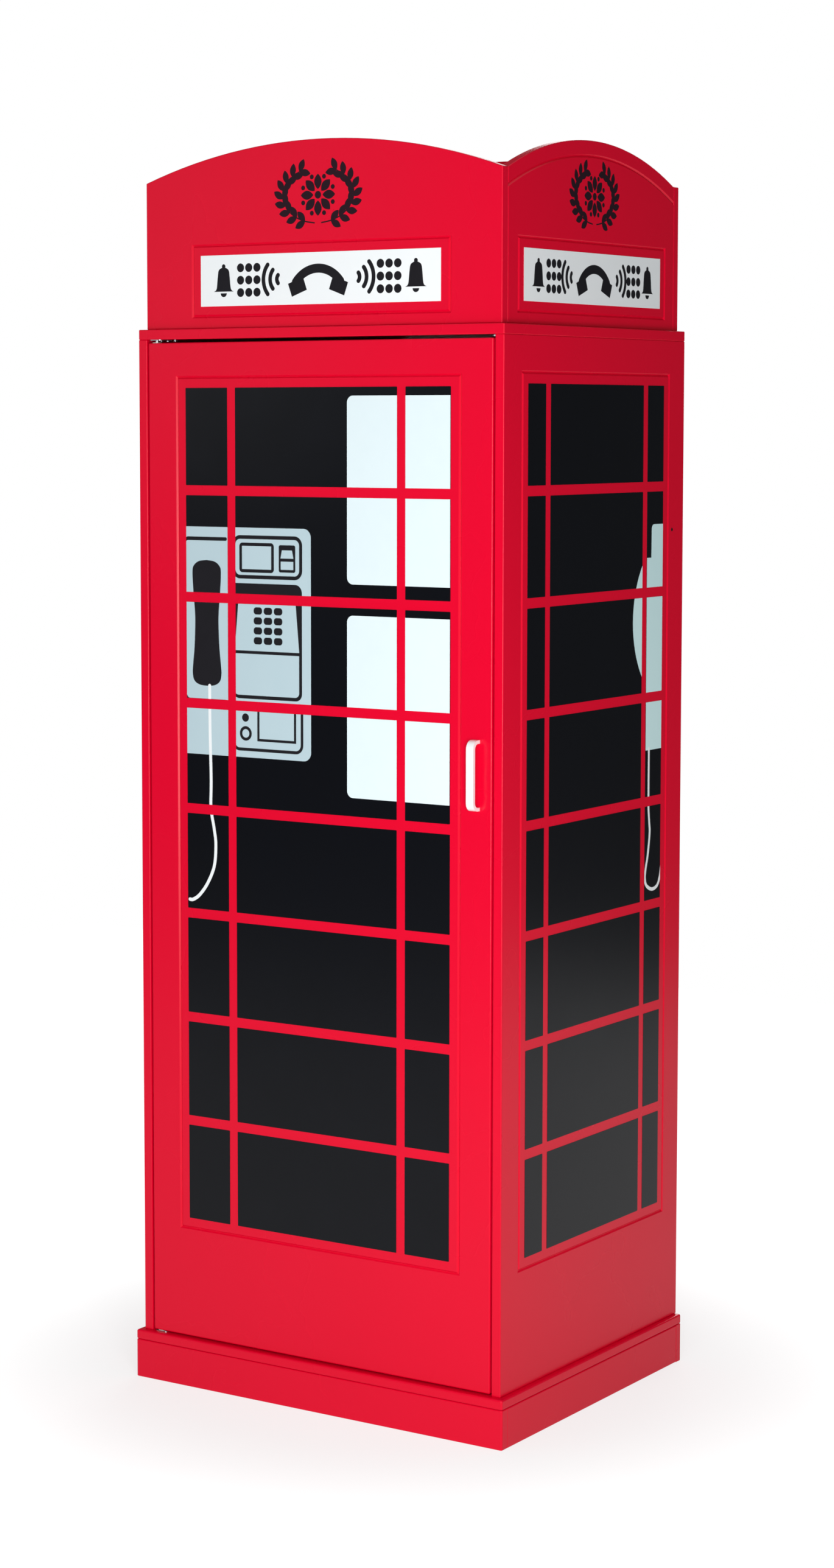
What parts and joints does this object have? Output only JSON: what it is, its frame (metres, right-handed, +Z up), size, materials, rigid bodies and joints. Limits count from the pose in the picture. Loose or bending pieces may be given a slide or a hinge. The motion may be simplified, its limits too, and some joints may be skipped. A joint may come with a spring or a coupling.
{
  "type": "telephone booth wardrobe",
  "caption": "Painted fibreboard wardrobe shaped like a telephone booth: arched header box, paned door on pivots, plinth, shelf, hanging rail and magnetic catch.",
  "frame": {"origin": "on the floor, under the middle of the overall box (door handle included)", "axes": "+Z up, +X to the right seen from the front, the door looks towards -Y"},
  "size_m": [0.658, 0.548, 1.871],
  "materials": {
    "red_lacquer": "satin crimson lacquer on fibreboard",
    "back_hardboard": "crimson lacquered thin hardboard",
    "pane_black": "near-black printed film, satin",
    "sign_white": "white printed film, satin",
    "beech": "plain sanded beech",
    "zinc_steel": "bright zinc plate",
    "zinc_casting": "die-cast zinc",
    "black_screw": "black oxide screw",
    "chrome_tube": "polished chrome",
    "white_plastic": "moulded white plastic",
    "nylon": "natural nylon",
    "ferrite": "sintered ferrite",
    "handle_white": "satin white enamel"
  },
  "bodies": {
    "cabinet": {"side_panel_left": "red_lacquer", "side_panel_right": "red_lacquer", "top_board": "red_lacquer", "base_board": "red_lacquer", "back_panel": "back_hardboard", "back_nails": "zinc_steel", "plinth_front": "red_lacquer", "plinth_back": "red_lacquer", "plinth_left": "red_lacquer", "plinth_right": "red_lacquer", "plinth_corner_blocks": "beech", "plinth_block_screws": "zinc_steel", "base_board_screws": "zinc_steel", "header_front": "red_lacquer", "header_back": "red_lacquer", "header_left": "red_lacquer", "header_right": "red_lacquer", "header_corner_blocks": "beech", "header_block_screws": "zinc_steel", "top_board_screws": "zinc_steel", "sign_front": "sign_white", "sign_left": "sign_white", "sign_right": "sign_white", "side_panes_left": "pane_black", "side_panes_right": "pane_black", "cam_locks": "zinc_casting", "cam_bolts": "zinc_steel", "dowels": "beech", "shelf": "red_lacquer", "shelf_pins": "zinc_steel", "shelf_screws": "black_screw", "hanging_rail": "chrome_tube", "rail_sockets": "white_plastic", "rail_socket_screws": "zinc_steel", "wall_bracket": "zinc_steel", "wall_bracket_screws": "zinc_steel", "pivot_plates": "zinc_steel", "pivot_plate_screws": "zinc_steel", "pivot_pins": "zinc_steel", "catch_housing": "white_plastic", "catch_magnet": "ferrite", "catch_poles": "zinc_steel", "catch_screws": "zinc_steel"},
    "door": {"door": "red_lacquer", "door_panes": "pane_black", "door_handle": "handle_white", "handle_screws": "zinc_steel", "pivot_bushes": "nylon", "strike_plate": "zinc_steel", "strike_screw": "zinc_steel"}
  },
  "joints": [
    {"name": "door_hinge", "type": "hinge", "parent": "cabinet", "child": "door", "pos_m": [-0.291, -0.2485, 0.83], "axis": [0, 0, -1], "range_deg": [0, 110]}
  ]
}
